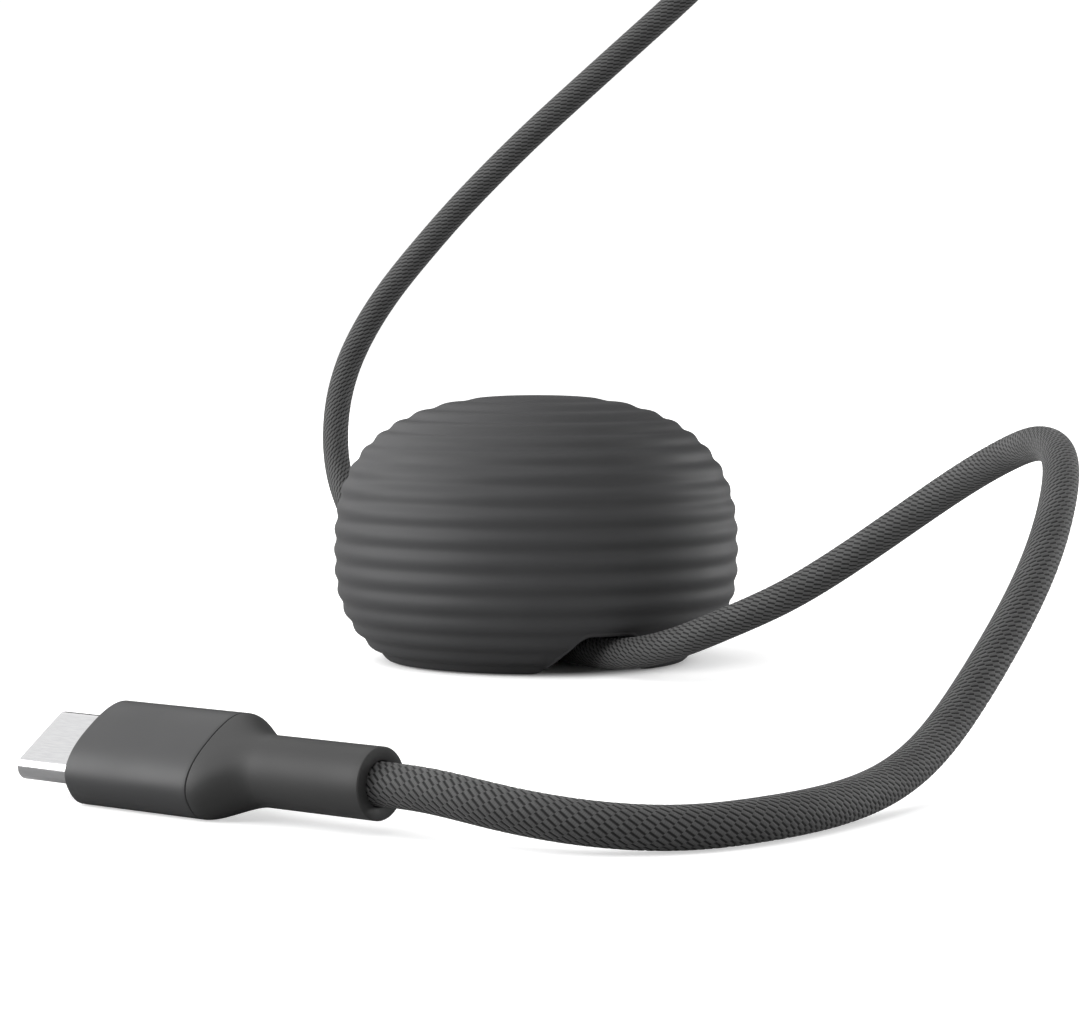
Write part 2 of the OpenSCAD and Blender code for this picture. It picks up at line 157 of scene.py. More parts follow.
def mixColour(tree, factor, first, second):
    inputs = {"Factor": factor}
    node = addNode(tree, "ShaderNodeMix", inputs, data_type="RGBA")
    for key, value in ((6, first), (7, second)):
        if isinstance(value, bpy.types.NodeSocket):
            tree.links.new(value, node.inputs[key])
        else:
            node.inputs[key].default_value = value
    return node.outputs[2]


# Noise with grains of a size in metres, squeezed along each axis by a stretch
def grain(tree, size, detail=2.0, where="Object", stretch=(1, 1, 1)):
    place = addNode(tree, "ShaderNodeTexCoord").outputs[where]
    place = addNode(tree, "ShaderNodeMapping", {"Vector": place, "Scale": stretch}).outputs[0]
    inputs = {"Vector": place, "Scale": 1 / size, "Detail": detail}
    return addNode(tree, "ShaderNodeTexNoise", inputs).outputs[0]


def relief(tree, height, depth):  # bump of a depth in metres
    inputs = {"Height": height, "Distance": depth, "Strength": 1.0}
    return addNode(tree, "ShaderNodeBump", inputs).outputs[0]


def blankMaterial(name, **shader):
    material = bpy.data.materials.new(name)
    material.use_nodes = True
    surface = material.node_tree.nodes["Principled BSDF"]
    for key, value in shader.items():
        surface.inputs[key.replace("_", " ")].default_value = value
    return material, material.node_tree, surface


gloss = {
    "patchSwing": 0.04,  # how much a moulded surface's roughness goes up and down
    "cloud": 0.004,  # size of a metal's duller patches
    "cloudSwing": 0.06,
}


# Moulded plastic or rubber: a grey that varies a little, fine grain in the surface and a rougher or
# glossier patch here and there
def moulded(name, look):
    material, tree, surface = blankMaterial(name, IOR=1.45)
    patches = grain(tree, look["patch"], 3.0)
    fine = grain(tree, look["grain"], 2.0)
    shade = mixColour(
        tree,
        band(tree, patches, 0.3, 0.7),
        colour(look["grey"] * (1 - look["vary"]), look["tint"]),
        colour(look["grey"] * (1 + look["vary"]), look["tint"]),
    )
    tree.links.new(shade, surface.inputs["Base Color"])
    swing = gloss["patchSwing"]
    rough = band(tree, patches, 0.25, 0.75, look["rough"] - swing, look["rough"] + swing)
    tree.links.new(rough, surface.inputs["Roughness"])
    surface.inputs["Specular IOR Level"].default_value = look["shine"]
    tree.links.new(relief(tree, fine, look["depth"]), surface.inputs["Normal"])
    return material


# Metal: bright, with drawing or rolling lines along one way, and a roughness that is the sum of the
# piece's own, the lines' and the duller patches'
def metal(name, look):
    material, tree, surface = blankMaterial(name, Metallic=1.0)
    lines = grain(tree, look["line"], 3.0, look.get("where", "Object"), look["stretch"])
    cloud = grain(tree, gloss["cloud"], 2.0)
    shade = mixColour(tree, band(tree, lines, 0.3, 0.7), look["dark"], look["light"])
    tree.links.new(shade, surface.inputs["Base Color"])
    dull = band(tree, cloud, 0.2, 0.8, 0, gloss["cloudSwing"])
    drawn = band(tree, lines, 0.3, 0.7, 0, look["lineRough"])
    rough = maths(tree, "ADD", maths(tree, "ADD", dull, drawn), look["rough"])
    tree.links.new(rough, surface.inputs["Roughness"])
    tree.links.new(relief(tree, lines, look["depth"]), surface.inputs["Normal"])
    return material


neutral = (1, 1, 1)
cool = (0.985, 0.99, 1.02)

# Stage: camera, light, floor

stage = {
    "cameraPlace": (0.0005, -0.400, 0.044),
    "cameraTilt": 3.67,  # degrees below the horizon
    "lens": 103.33,
    "sensor": 36.0,
    "lightsAim": (0, 0, 0.015),
    "skySeen": 1.05,
    "skyFill": 0.105,  # what the sky gives the object
    "floorHalf": 3.0,
    "floorGrey": 0.80,
    "floorBounce": 0.46,  # how pale the floor is to the light that it throws back on the object
    "floorSeen": 0.50,  # glow of the floor beside the object, which leaves soft shadows
    "floorFar": 0.55,  # glow on top of it further off, where the floor goes over into the sky
    "footShadowRing": (0.015, 0.023),  # the glow starts past the anchor's foot, so the floor round the foot and in the passage's mouth stays dark as a painted contact shadow
    "farFloor": (0.17, 0.36),
}


def makeCamera():
    data = bpy.data.cameras.new("camera")
    data.sensor_width = stage["sensor"]
    data.lens = stage["lens"]
    data.clip_start = 0.01
    camera = bpy.data.objects.new("camera", data)
    camera.location = stage["cameraPlace"]
    camera.rotation_euler = (math.radians(90 - stage["cameraTilt"]), 0, 0)
    scene.collection.objects.link(camera)
    scene.camera = camera


# Each box as the anchor sees it: turned from the viewer's side (left is negative) and raised, in
# degrees, then its distance, width and height in metres and its watts
softBoxes = {
    "leftBox": (-78, 18, 0.9, 0.80, 0.55, 9.6),
    "backLeftBox": (-122, 38, 0.9, 1.30, 1.00, 6.7),
    "frontLeftBox": (-30, 45, 0.9, 0.40, 0.40, 1.65),
    "topBox": (0, 80, 0.9, 0.60, 0.50, 2.3),
    "backRightBox": (120, 9, 0.9, 0.50, 0.30, 3.2),
    "frontRightBox": (42, 10, 0.9, 0.60, 0.25, 2.1),
    "highRightBox": (106, 35, 0.9, 0.50, 0.50, 1.4),
}


def makeLights():
    aim = Vector(stage["lightsAim"])
    for name, (turn, rise, away, width, height, watts) in softBoxes.items():
        turn = math.radians(turn)
        rise = math.radians(rise)
        level = math.cos(rise)
        toBox = Vector((level * math.sin(turn), -level * math.cos(turn), math.sin(rise)))
        data = bpy.data.lights.new(name, "AREA")
        data.shape = "RECTANGLE"
        data.size = width
        data.size_y = height
        data.energy = watts
        lamp = bpy.data.objects.new(name, data)
        lamp.location = aim + away * toBox
        lamp.rotation_euler = (-toBox).to_track_quat("-Z", "Y").to_euler()
        scene.collection.objects.link(lamp)


def makeSky():  # the backdrop is white, and gives the object much less light than it shows
    world = bpy.data.worlds.new("studio")
    world.use_nodes = True
    scene.world = world
    tree = world.node_tree
    background = tree.nodes["Background"]
    background.inputs["Color"].default_value = (1, 1, 1, 1)
    seen = addNode(tree, "ShaderNodeLightPath").outputs["Is Camera Ray"]
    strength = band(tree, seen, 0, 1, stage["skyFill"], stage["skySeen"])
    tree.links.new(strength, background.inputs["Strength"])


def makeFloor():  # white, with a glow that grows away from the object until floor and sky are one
    material, tree, surface = blankMaterial("floorWhite", Roughness=0.9)
    surface.inputs["Emission Color"].default_value = (1, 1, 1, 1)
    surface.inputs["Specular IOR Level"].default_value = 0.0
    seen = addNode(tree, "ShaderNodeLightPath").outputs["Is Camera Ray"]
    shade = mixColour(tree, seen, colour(stage["floorBounce"]), colour(stage["floorGrey"]))
    tree.links.new(shade, surface.inputs["Base Color"])
    place = addNode(tree, "ShaderNodeTexCoord").outputs["Object"]
    away = addNode(tree, "ShaderNodeVectorMath", {0: place}, operation="LENGTH").outputs["Value"]
    # The near band leaves no glow round the anchor's foot and in the passage's mouth: a painted
    # contact shadow on the floor
    near = band(tree, away, *stage["footShadowRing"], 0, stage["floorSeen"])
    far = band(tree, away, *stage["farFloor"], 0, stage["floorFar"])
    glow = maths(tree, "MULTIPLY", maths(tree, "ADD", near, far), seen)
    tree.links.new(glow, surface.inputs["Emission Strength"])
    half = stage["floorHalf"]
    corners = [(-half, -half, 0), (half, -half, 0), (half, half, 0), (-half, half, 0)]
    mesh = bpy.data.meshes.new("floor")
    mesh.from_pydata(corners, [], [(0, 1, 2, 3)])
    mesh.materials.append(material)
    floor = bpy.data.objects.new("floor", mesh)
    scene.collection.objects.link(floor)


makeCamera()
makeLights()
makeSky()
makeFloor()
scene.view_settings.view_transform = "Standard"
print("stage: camera, soft boxes, white sky and floor")

# Cord: two free stretches of one woven cord, from the passage under the anchor to each plug

cord = {
    "diameter": 3.8,
    "columns": 72,
    "rowStarts": -14,  # rows of the weave that start round the cord, as a right-handed screw
    "rowStep": 0.75,  # from one row to the next, along the cord
    "ringsPerRow": 4,
    "crossStarts": -9,
    "crossStep": 1.33,
    "stair": 0.36,  # part of a row that each dash is turned out of line
    "grooveDepth": 0.07,
    "rowRise": 0.3,  # part of the groove's depth that a row stands out of the cord's own radius
    "grooveFrom": 0.45,  # the groove starts this far from a row's middle, where 1 is its edge
    "endFrom": 0.36,  # and fades from this far from a dash's middle, where 0.5 is its end
    "endFade": 0.35,
    "exitFront": (8.6, -18.5, 2.8),
    "exitRear": (-9.8, 23.0, 3.1),
}
route = [
    (-27, -127.5, 4.5), (-21, -132, 4.5), (-13, -138, 4.5), (-9, -141, 4.4),
    (-3.2, -144.6, 3.6), (4, -146.6, 2.6), (11.8, -145.6, 2), (19.2, -141, 1.95),
    (25.8, -133.4, 1.95), (31.6, -124.6, 2.6), (36.8, -115.5, 4.8), (41, -108.1, 8.3),
    (45.1, -101, 12.7), (48.8, -94.1, 17.2), (51.8, -87.3, 21.6), (54, -80.5, 25.6),
    (55.4, -73.4, 28.6), (55.8, -66.4, 30.1), (55, -58.9, 30.3), (53.1, -52.1, 28.9),
    (49.9, -46, 26.3), (45.7, -41, 22.8), (40.6, -37.3, 18.7), (34.9, -34.9, 14.5),
    (29, -33.1, 10.8), (23, -30.9, 7.8), (17.5, -27.7, 5.2), (12.5, -23.2, 3.4),
    (8.6, -18.5, 2.8), (5, -12, 2.7), (0, 0, 2.7), (-5, 12, 2.7), (-9.8, 23, 3.1),
    (-14.4, 32.6, 4.5), (-18.7, 41, 6.6), (-22.4, 48, 9.3), (-25.5, 53.8, 12.8),
    (-28, 58.6, 17), (-29.6, 62.4, 21.5), (-30.2, 65.3, 26.5), (-29.8, 67.5, 32),
    (-28.3, 69, 37.5), (-25.6, 69.8, 43.1), (-21.9, 70.2, 48.7), (-17.3, 70.2, 54.4),
    (-12.2, 70, 60.2), (-6.5, 69.5, 66.1), (-0.3, 69, 72.1), (6.2, 68.5, 78), (12.9, 68.2, 84),
    (19.7, 68, 90.1), (27, 68, 97), (34, 68, 104), (39.35, 68, 109.35),
]


# Smooth line through the points: a cubic between each two, with the bend carried on evenly at
# every point
def splineLine(points, step):
    points = np.array(points, float)
    gaps = np.linalg.norm(np.diff(points, axis=0), axis=1)
    at = np.concatenate([[0], np.cumsum(gaps)])
    slopes = np.diff(points, axis=0) / gaps[:, None]
    count = len(points)
    matrix = np.eye(count)
    inside = np.arange(1, count - 1)
    matrix[inside, inside - 1] = gaps[:-1]
    matrix[inside, inside] = 2 * (gaps[:-1] + gaps[1:])
    matrix[inside, inside + 1] = gaps[1:]
    target = np.zeros((count, 3))
    target[1:-1] = 6 * (slopes[1:] - slopes[:-1])
    bend = np.linalg.solve(matrix, target)
    samples = int(at[-1] * 20)  # twenty a millimetre
    t = np.linspace(0, at[-1], samples)
    k = np.clip(np.searchsorted(at, t, side="right") - 1, 0, count - 2)
    a = (t - at[k])[:, None]
    h = gaps[k][:, None]
    line = (
        points[k]
        + a * (slopes[k] - h * (2 * bend[k] + bend[k + 1]) / 6)
        + a**2 * bend[k] / 2
        + a**3 * (bend[k + 1] - bend[k]) / (6 * h)
    )
    walked = np.concatenate([[0], np.cumsum(np.linalg.norm(np.diff(line, axis=0), axis=1))])
    even = np.arange(0, walked[-1], step)
    return np.stack([np.interp(even, walked, line[:, axis]) for axis in range(3)], 1), even


# Two directions across a line that turn about it as little as they can: a first guess from a fixed
# side, turned back by the twist that the guess has gathered
def carryAcross(line, side):
    ahead = unit(np.gradient(line, axis=0))
    first = unit(np.cross(ahead, side))
    second = np.cross(ahead, first)
    gained = np.sum(np.diff(first, axis=0) * second[:-1], axis=1)
    twist = np.concatenate([[0], np.cumsum(gained)])[:, None]
    out = first * np.cos(twist) - second * np.sin(twist)
    return out, np.cross(ahead, out)


# How deep the weave's grooves are at a place (they are also painted dark as shade): rows wind round
# the cord, and each row's line is cut into dashes that step down like a stair
def weaveGroove(around, along):
    row = cord["rowStarts"] * around + along / cord["rowStep"]
    cross = cord["crossStarts"] * around - along / cord["crossStep"]
    dash = cross - np.floor(cross) - 0.5
    row = row + cord["stair"] * dash
    away = np.abs(row - np.floor(row) - 0.5) * 2
    ending = smooth(cord["endFrom"], 0.5, np.abs(dash))
    return smooth(cord["grooveFrom"], 1.0, away) * (1 - cord["endFade"] * ending)


weaveLook = {
    "yarnLow": 0.064,  # greys of the yarns, which vary in patches
    "yarnHigh": 0.082,
    "fleck": 0.10,  # grey of the paler fibres
    "fleckFrom": 0.35,
    "fleckTo": 0.75,
    "fleckShare": 0.5,
    "gap": 0.030,  # painted shade between two yarns
    "gapShadeFrom": 0.30,
    "gapShadeShare": 0.35,
    "line": 0.006,  # painted shade in the grooves between rows
    "grooveShadeFrom": 0.42,
    "grooveShadeTo": 0.84,
    "endFrom": 0.40,
    "endShare": 0.8,
    "yarns": 5.0,  # yarns for each dash
    "fuzz": 0.00025,
    "patch": 0.0045,
    "rough": 0.72,
    "shine": 0.35,
    "sheen": 0.25,
    "sheenRough": 0.4,
    "sheenGrey": 0.5,
    "depth": 0.00006,  # of the lines, and the yarns and the fuzz have a part of it
    "yarnDepth": 0.35,
    "fuzzDepth": 0.25,
}


# The same rows and dashes as a pattern on the cord's own map, with fine yarns that lie across
# each row, and painted shade in the grooves between rows and in the gaps between yarns
def makeWeave():
    look = weaveLook
    material, tree, surface = blankMaterial("wovenJacket", IOR=1.45)
    place = addNode(tree, "ShaderNodeUVMap", uv_map="run").outputs[0]
    parts = addNode(tree, "ShaderNodeSeparateXYZ", {"Vector": place}).outputs
    around = parts[0]
    along = parts[1]
    wound = maths(tree, "MULTIPLY", around, cord["rowStarts"])
    rows = maths(tree, "MULTIPLY_ADD", along, 1 / cord["rowStep"], wound)
    wound = maths(tree, "MULTIPLY", around, cord["crossStarts"])
    crossed = maths(tree, "MULTIPLY_ADD", along, -1 / cord["crossStep"], wound)
    dash = maths(tree, "SUBTRACT", maths(tree, "FRACT", crossed), 0.5)
    stepped = maths(tree, "MULTIPLY_ADD", dash, cord["stair"], rows)
    fraction = maths(tree, "SUBTRACT", maths(tree, "FRACT", stepped), 0.5)
    away = maths(tree, "MULTIPLY", maths(tree, "ABSOLUTE", fraction), 2.0)
    ends = band(tree, maths(tree, "ABSOLUTE", dash), look["endFrom"], 0.5, 1.0, look["endShare"])
    # Painted shade in the grooves between rows, fading towards each dash's end
    line = maths(tree, "MULTIPLY", band(tree, away, look["grooveShadeFrom"], look["grooveShadeTo"]), ends)
    yarn = maths(tree, "MULTIPLY", crossed, look["yarns"])
    yarn = maths(tree, "FRACT", maths(tree, "MULTIPLY_ADD", stepped, -1.0, yarn))
    yarn = maths(tree, "ABSOLUTE", maths(tree, "SUBTRACT", yarn, 0.5))
    fuzz = grain(tree, look["fuzz"], 3.0)
    patch = band(tree, grain(tree, look["patch"], 2.0), 0.3, 0.7)
    shade = mixColour(tree, patch, colour(look["yarnLow"]), colour(look["yarnHigh"]))
    fleck = band(tree, fuzz, look["fleckFrom"], look["fleckTo"], 0, look["fleckShare"])
    shade = mixColour(tree, fleck, shade, colour(look["fleck"]))
    # Painted shade in the gaps between the yarns
    gaps = band(tree, yarn, look["gapShadeFrom"], 0.5, 0, look["gapShadeShare"])
    shade = mixColour(tree, gaps, shade, colour(look["gap"]))
    # The painted groove shade goes over the yarns
    shade = mixColour(tree, line, shade, colour(look["line"]))
    tree.links.new(shade, surface.inputs["Base Color"])
    surface.inputs["Roughness"].default_value = look["rough"]
    surface.inputs["Specular IOR Level"].default_value = look["shine"]
    surface.inputs["Sheen Weight"].default_value = look["sheen"]
    surface.inputs["Sheen Roughness"].default_value = look["sheenRough"]
    surface.inputs["Sheen Tint"].default_value = colour(look["sheenGrey"])
    height = maths(tree, "MULTIPLY", yarn, -look["yarnDepth"])
    height = maths(tree, "MULTIPLY_ADD", line, -1.0, height)
    height = maths(tree, "MULTIPLY_ADD", fuzz, look["fuzzDepth"], height)
    tree.links.new(relief(tree, height, look["depth"]), surface.inputs["Normal"])
    return material


weave = makeWeave()


# Rings across the smooth route, whose radius sinks where the weave's lines run
def makeCord(name, stops, side):
    step = cord["rowStep"] / cord["ringsPerRow"]
    line, walked = splineLine(stops, step)
    out, across = carryAcross(line, side)
    around = np.arange(cord["columns"]) / cord["columns"]
    angle = 2 * np.pi * around[None, :, None]
    direction = out[:, None] * np.cos(angle) + across[:, None] * np.sin(angle)
    groove = weaveGroove(around[None, :], walked[:, None])
    radius = cord["diameter"] / 2 + cord["grooveDepth"] * (cord["rowRise"] - groove)
    points = line[:, None] + direction * radius[..., None]
    along = np.broadcast_to(walked[:, None], radius.shape)
    piece = gridPiece(name, points, weave, along)
    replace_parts(piece, "cord")
    return piece, line


middle = route.index((0, 0, 2.7))
frontRoute = route[: middle + 1][::-1]
rearRoute = route[middle:]
deviceCord, frontLine = makeCord("deviceCord", frontRoute, (0.0, 0.0, 1.0))
chargerCord, rearLine = makeCord("chargerCord", rearRoute, (1.0, -0.3, 0.0))
print("cord: front", len(frontLine), "rings, rear", len(rearLine), "rings")

# Ribbed sleeve of the anchor

sleeve = {
    "diameter": 52.2,
    "height": 34.2,
    "waist": 14.2,
    "foot": 37.0,
    "fullness": 2.6,
    "ribPitch": 2.74,
    "ribDepth": 0.29,
    "ribCount": 16,
    "wideRibs": 3,
    "ribWidening": 0.35,
    "broadCrests": 0.12,
    "softFrom": 13,  # the ribs above this one grow shallower towards the cap
    "softLast": 0.55,
    "wall": 2.2,
    "lip": 2.4,
    "rimGap": 0.15,
    "mouth": 17.1,
    "archedAt": 1.2,  # where the passage lifts the lower edge this much, the edge is the arch's
    "footEdge": 1.0,  # rounding of the lower edge on the foot, and in the arch
    "archEdge": 0.45,
    "footStart": 0.3,  # the outer wall starts this far above the edge
    "archStart": 0.5,
    "spreadTo": 11.0,  # the arch squeezes the rows below this walked length
    "mouthBlend": 1.2,
    "gap": 0.02,
    "wallRows": 40,
    "columns": 288,
    "rowStep": 0.2,
}
passage = {"height": 5.2, "width": 17.0, "topWidth": 5.0, "turn": math.atan2(5, 12)}


def archHeight(u):  # the passage's roof at a distance to the side of its middle
    past = np.maximum(0, np.abs(u) - passage["topWidth"] / 2)
    reach = (passage["width"] - passage["topWidth"]) / 2
    return passage["height"] * (0.5 + 0.5 * np.cos(np.pi * np.minimum(past / reach, 1)))


# Dome curve: an upper and a lower superellipse quarter that meet at the waist, moved in by an inset
def domeCurve(low, inset, count):
    meanRadius = sleeve["diameter"] / 2 - sleeve["ribDepth"] / 2
    bow = 2 / sleeve["fullness"]
    upper = sleeve["height"] - sleeve["ribDepth"] / 2 - sleeve["waist"]
    share = (sleeve["foot"] / 2 / meanRadius) ** sleeve["fullness"]
    lower = sleeve["waist"] / (1 - share) ** (1 / sleeve["fullness"])
    start = -math.asin(((sleeve["waist"] - low) / (lower - inset)) ** (1 / bow))
    turn = np.linspace(start, math.pi / 2, count)
    radius = (meanRadius - inset) * np.abs(np.cos(turn)) ** bow
    radius[-1] = 0
    height = np.where(turn < 0, -(lower - inset), upper - inset) * np.abs(np.sin(turn)) ** bow
    return radius, sleeve["waist"] + height


footBead = sleeve["rimGap"] + sleeve["ribDepth"] / 2 + 0.1
meanR, meanZ = domeCurve(footBead, 0, 1200)
meanWalk = np.concatenate([[0], np.cumsum(np.hypot(np.diff(meanR), np.diff(meanZ)))])
normalR = np.gradient(meanZ, meanWalk)
normalZ = -np.gradient(meanR, meanWalk)
crests = np.arange(sleeve["ribCount"] + 1)
spread = np.maximum(0, crests - (sleeve["ribCount"] - sleeve["wideRibs"]))
crests = sleeve["ribPitch"] * crests + sleeve["ribWidening"] * spread**2


# A point of the ribbed surface at a walked length: the mean curve moved out by a wave that crests
# at every rib, with broad crests and narrow grooves
def ribbedPoint(walk):
    rib = np.interp(walk, crests, np.arange(len(crests)))
    wave = np.cos(2 * np.pi * rib)
    wave = wave + sleeve["broadCrests"] * (1 - wave**2)
    fade = lerp(1, sleeve["softLast"], smooth(sleeve["softFrom"], sleeve["ribCount"], rib))
    lift = sleeve["ribDepth"] / 2 * (fade * (wave - 1) + 1)
    radius = np.interp(walk, meanWalk, meanR) + lift * np.interp(walk, meanWalk, normalR)
    height = np.interp(walk, meanWalk, meanZ) + lift * np.interp(walk, meanWalk, normalZ)
    return np.maximum(radius, 0), height


# One closed skin, turned about the axis: down the inner wall from its pole, under the lip, round
# the lower edge and up the ribbed wall, where every column starts at the height that the arch
# leaves it
def makeSleeve(material):
    cols = sleeve["columns"]
    angle = 2 * np.pi * np.arange(cols) / cols
    aside = angle - (passage["turn"] - math.pi / 2)  # from the passage's own line
    side = np.sin(aside)
    gap = sleeve["rimGap"]
    # Where the arch cuts the outer surface: height and radius are found in turn, and settle quickly
    rimR = np.full(cols, sleeve["foot"] / 2)
    widest = np.argmax(meanR)
    for _ in range(6):
        under = np.maximum(gap, archHeight(rimR * side))
        rimR = np.interp(under + sleeve["footStart"], meanZ[:widest], meanR[:widest])
    arched = smooth(gap, sleeve["archedAt"], under)
    lowest = under + lerp(sleeve["footStart"], sleeve["archStart"], arched)
    start = np.interp(lowest, meanZ, meanWalk) * arched
    # Outer wall: its lowest rows share what the arch leaves, and the ribs stay where they are
    full = meanWalk[-1]
    rows = int(full / sleeve["rowStep"])
    even = np.linspace(0, full, rows)[:, None]
    spreadTo = sleeve["spreadTo"]
    walk = np.where(even < spreadTo, start + (spreadTo - start) * even / spreadTo, even)
    outerR, outerZ = ribbedPoint(walk)
    # Rounded lower edge
    edge = lerp(sleeve["footEdge"], sleeve["archEdge"], arched)
    bend = np.linspace(0, math.pi / 2, 7)[:-1, None]
    edgeR = outerR[0] - edge * (1 - np.sin(bend))
    edgeZ = under + (outerZ[0] - under) * (1 - np.cos(bend))
    # Underside, from the mouth out to the edge
    wallRows = sleeve["wallRows"]
    innerR, innerZ = domeCurve(gap + sleeve["lip"], sleeve["wall"], wallRows)
    lipTop = innerZ[0]
    opened = smooth(lipTop - sleeve["mouthBlend"], lipTop, archHeight(sleeve["mouth"] * side))
    lowHalf = wallRows // 2
    innerEdge = np.interp(np.maximum(under, lipTop), innerZ[:lowHalf], innerR[:lowHalf])
    innerEdge = innerEdge - sleeve["gap"]
    mouthR = lerp(sleeve["mouth"], innerEdge, opened)
    part = np.linspace(0, 1, 9)[:-1, None]
    underR = lerp(mouthR, edgeR[0], part)
    underZ = np.maximum(gap, archHeight(underR * side))
    # Inner wall, from the pole down to the lip
    wallFrom = np.maximum(lipTop, archHeight(innerEdge * side) + sleeve["gap"])
    share = np.linspace(0, 1, wallRows)
    wallAt = lerp(np.interp(wallFrom, innerZ, share), 1, share[::-1, None])
    wallR = np.interp(wallAt, share, innerR)
    wallZ = np.interp(wallAt, share, innerZ)
    lipZ = np.maximum(wallZ[-1], underZ[0] + sleeve["gap"] / 2)
    radius = np.concatenate([wallR[1:], mouthR[None], underR, edgeR, outerR[:-1]])
    height = np.concatenate([wallZ[1:], lipZ[None], underZ, edgeZ, outerZ[:-1]])
    points = np.stack([radius * np.cos(angle), radius * np.sin(angle), height], -1)
    return gridPiece("ribbedSleeve", points, material, height)


sleeveLook = {
    "grey": 0.041,
    "vary": 0.05,
    "tint": cool,
    "patch": 0.012,
    "grain": 0.00016,
    "rough": 0.60,
    "shine": 0.36,
    "depth": 0.000008,
}
sleevePiece = makeSleeve(moulded("softRubber", sleeveLook))
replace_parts(sleevePiece, "ribbed_sleeve")
print("sleeve:", len(sleevePiece.data.polygons), "faces")

# Plugs

plug = {
    "reliefLength": 18.0,
    "reliefDiameter": 6.4,
    "swellLength": 5.8,
    "gripWidth": 11.2,
    "gripThick": 6.6,
    "gripLength": 16.0,
    "gripWall": 0.8,
    "gripFullness": 2.5,
    "frontWall": 2.0,
    "bevelFullness": 0.8,  # more at the bevel's front
    "bevel": 1.2,
    "bevelLip": 0.4,
    "seam": 0.12,
    "seamGap": 0.02,
    "tailEdge": 0.14,
    "noseWidth": 8.25,
    "noseThick": 2.4,
    "noseLength": 6.65,
    "noseRoot": 3.0,
    "noseWall": 0.3,
    "fit": 0.05,
    "ferruleHole": 6.0,
    "ferruleWall": 0.4,
    "cordFit": 0.06,
}
plugs = {
    "device": {"at": (-13, -138, 4.5), "lie": (math.degrees(math.atan2(3, -4)), 0, -35)},
    "charger": {"at": (27, 68, 97), "lie": (0, 45, -30)},
}
faceX = plug["reliefLength"] + plug["gripLength"]
tipX = faceX + plug["noseLength"]


# Rings across the plug's axis: superellipses of given half sizes and fullness, one row for each
# place along the axis
def ovalRings(rings, cols):
    x, halfW, halfT, full = np.array(rings, float).T[..., None]
    angle = 2 * np.pi * np.arange(cols) / cols
    c = np.cos(angle)
    s = np.sin(angle)
    y = halfW * np.sign(c) * np.abs(c) ** (2 / full)
    z = halfT * np.sign(s) * np.abs(s) ** (2 / full)
    return np.stack([np.broadcast_to(x, y.shape), y, z], -1)


# Rings with straight top and bottom and round ends, evenly walked round the outline
def stadiumRings(rings, cols):
    x, halfW, halfT = np.array(rings, float).T[..., None]
    flat = halfW - halfT
    arc = math.pi * halfT
    walk = (np.arange(cols) / cols)[None, :] * (2 * arc + 4 * flat)
    turn1 = np.clip(walk, 0, arc / 2) / halfT
    turn2 = np.clip(walk - arc / 2 - 2 * flat, 0, arc) / halfT
    turn3 = np.clip(walk - 1.5 * arc - 4 * flat, 0, arc / 2) / halfT
    turn = turn1 + turn2 + turn3
    top = np.clip(walk - arc / 2, 0, 2 * flat)
    bottom = np.clip(walk - 1.5 * arc - 2 * flat, 0, 2 * flat)
    slide = flat - top + bottom
    y = slide + halfT * np.cos(turn)
    z = halfT * np.sin(turn)
    return np.stack([np.broadcast_to(x, y.shape), y, z], -1)


def placed(points, lying):  # turned as the plug lies, and moved to its place
    return points @ turned(*lying["lie"]).T + np.array(lying["at"])


def swell(f):  # an easy wave from 0 to 1
    return 0.5 - 0.5 * np.cos(np.pi * f)


def quarter(count):  # steps of a rounded corner: how far in, and how far along, from 0 to 1
    bend = np.linspace(0, np.pi / 2, count)
    return np.sin(bend), 1 - np.cos(bend)


# The grip's outside: a rounded seam edge, straight sides, and a bevel that closes in on the nose
def gripRings():
    halfW = plug["gripWidth"] / 2
    halfT = plug["gripThick"] / 2
    wall = plug["gripWall"]
    back = plug["reliefLength"]
    full = plug["gripFullness"]
    lipW = plug["noseWidth"] / 2 + plug["bevelLip"]
    lipT = plug["noseThick"] / 2 + plug["bevelLip"]
    rings = []
    for rise, go in zip(*quarter(5)):  # seam edge
        x = back + plug["seamGap"] + plug["seam"] * go
        inset = plug["seam"] * (1 - rise)
        rings.append((x, halfW - inset, halfT - inset, full))
    for x in np.linspace(back + 0.6, faceX - plug["bevel"] - 0.3, 14):
        rings.append((x, halfW, halfT, full))
    bevelRun = plug["bevel"] + 0.08
    soft = 0.05  # share of the bevel in which it turns in
    for f in np.linspace(0, 1, 28):
        slope = max(0, math.hypot(f, soft) - soft - 0.03 * (1 - f)) / (math.hypot(1, soft) - soft)
        x = faceX - bevelRun * (1 - f)
        fuller = full + plug["bevelFullness"] * slope
        rings.append((x, lerp(halfW, lipW, slope), lerp(halfT, lipT, slope), fuller))
    return rings


# The outside, then in at the nose's hole, and back along the inner wall to the seam
def makeGrip(kind, lying, material):
    cols = 144
    outer = ovalRings(gripRings(), cols)
    holeW = plug["noseWidth"] / 2 + plug["fit"]
    holeT = plug["noseThick"] / 2 + plug["fit"]
    holeSteps = ((0, 0.16), (0.05, 0.04), (0.2, 0), (1.9, 0))  # depth, and how much wider
    holeRings = [(faceX - deep, holeW + wide, holeT + wide) for deep, wide in holeSteps]
    wall = plug["gripWall"]
    inW = plug["gripWidth"] / 2 - wall
    inT = plug["gripThick"] / 2 - wall
    back = plug["reliefLength"] + plug["seamGap"]
    innerPlaces = (faceX - plug["frontWall"], faceX - plug["gripLength"] / 2, back)
    innerRings = [(x, inW, inT, plug["gripFullness"]) for x in innerPlaces]
    hole = stadiumRings(holeRings, cols)
    points = np.concatenate([outer, hole, ovalRings(innerRings, cols)])
    skin = placed(points, lying)
    piece = gridPiece(kind + "Grip", skin, material, points[..., 0], joinRows=True)
    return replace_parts(piece, kind + "_grip")


